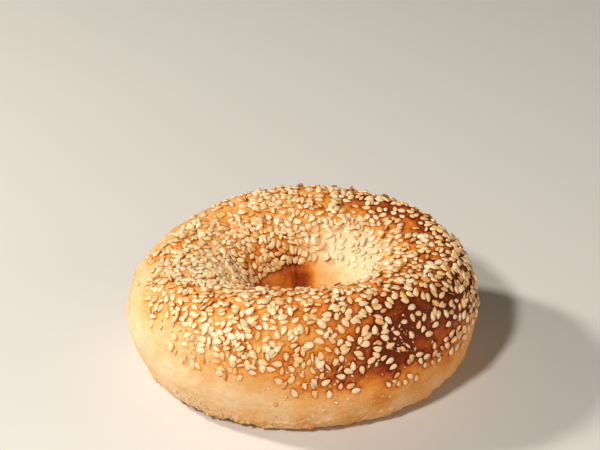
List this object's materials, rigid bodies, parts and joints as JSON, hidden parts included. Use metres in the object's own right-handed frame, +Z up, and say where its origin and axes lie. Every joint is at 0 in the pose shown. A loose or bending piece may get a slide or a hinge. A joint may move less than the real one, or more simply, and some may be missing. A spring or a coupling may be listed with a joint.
{
  "type": "sesame bagel",
  "caption": "Hand-shaped ring of baked dough with a round hole, its top and shoulders covered in baked-on sesame seeds.",
  "frame": {"origin": "centre of the footprint, on the surface that the bagel rests on", "axes": "+Z up through the hole; +X along the long way of the ring; -Y the front, the side the hole sits nearer to"},
  "size_m": [0.1166, 0.1023, 0.0448],
  "materials": {
    "crust": "satin"
  },
  "bodies": {
    "root": {"bagel": "crust"}
  },
  "joints": []
}
